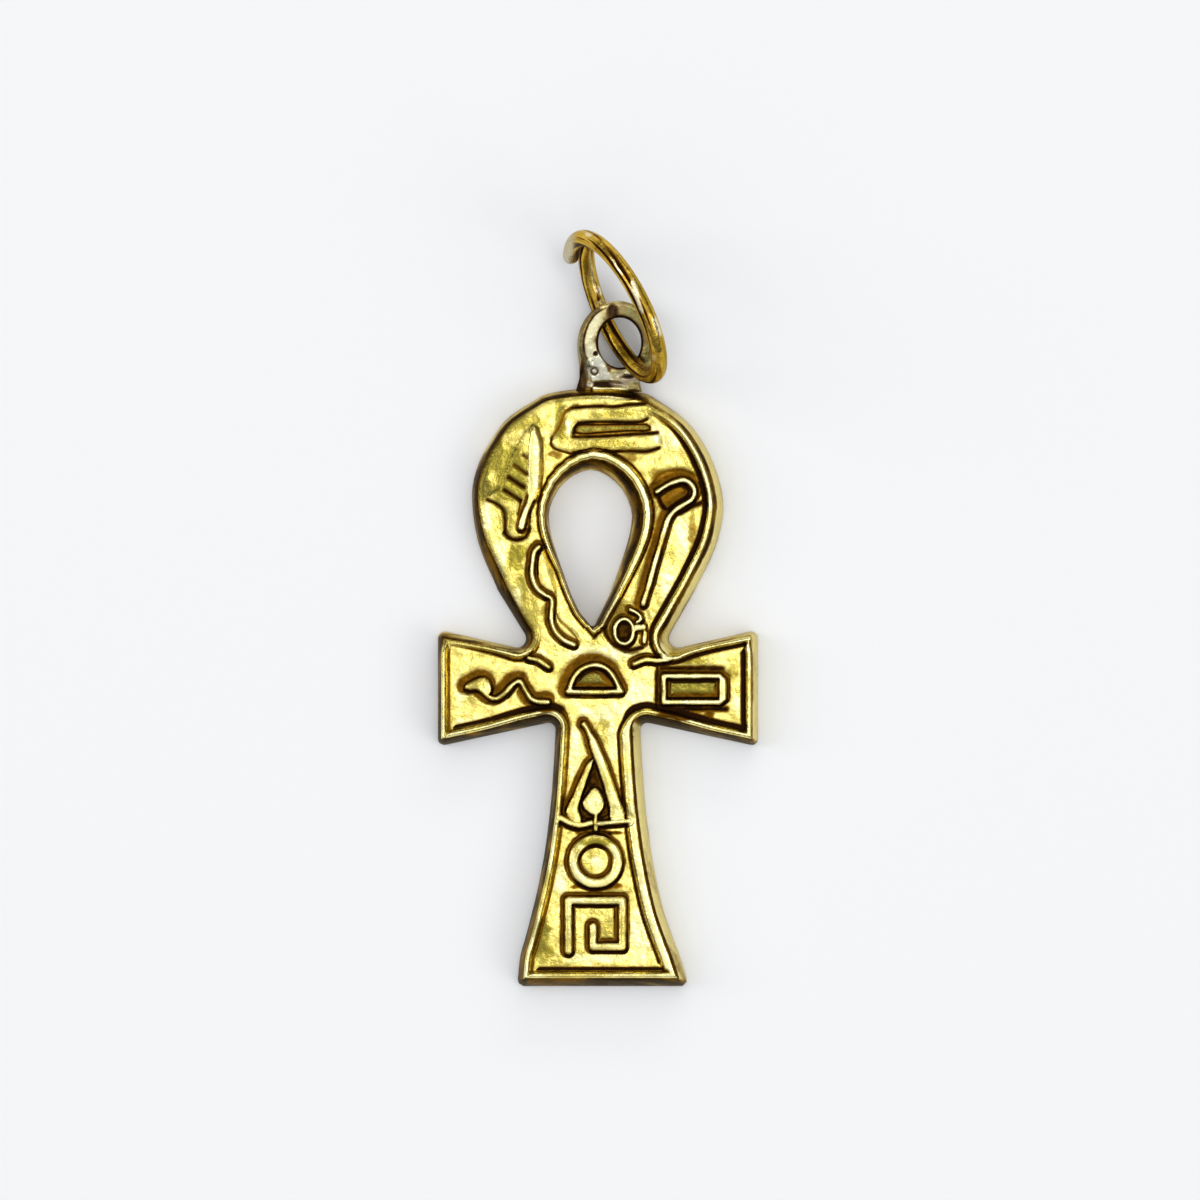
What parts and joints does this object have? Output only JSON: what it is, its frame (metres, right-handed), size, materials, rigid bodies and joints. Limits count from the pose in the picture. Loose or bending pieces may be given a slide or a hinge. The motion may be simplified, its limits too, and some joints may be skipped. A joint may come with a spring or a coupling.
{
  "type": "ankh pendant",
  "caption": "Cast gold-coloured ankh pendant with a teardrop loop, raised signs and a soldered eye, on an open round jump ring.",
  "frame": {"origin": "on the flat back of the pendant, where the middle lines of the arms and of the stem cross", "axes": "+X along the right arm as the face is seen, +Y up the loop towards the eye, +Z out of the face"},
  "size_m": [0.016, 0.0377, 0.0085],
  "materials": {
    "cast_gold": "worn polished gold plate, with brown tarnish in its hollows",
    "ring_gold": "worn gold plate, darker amber than the pendant"
  },
  "bodies": {
    "root": {"ankh": "cast_gold", "jump_ring": "ring_gold"}
  },
  "joints": []
}
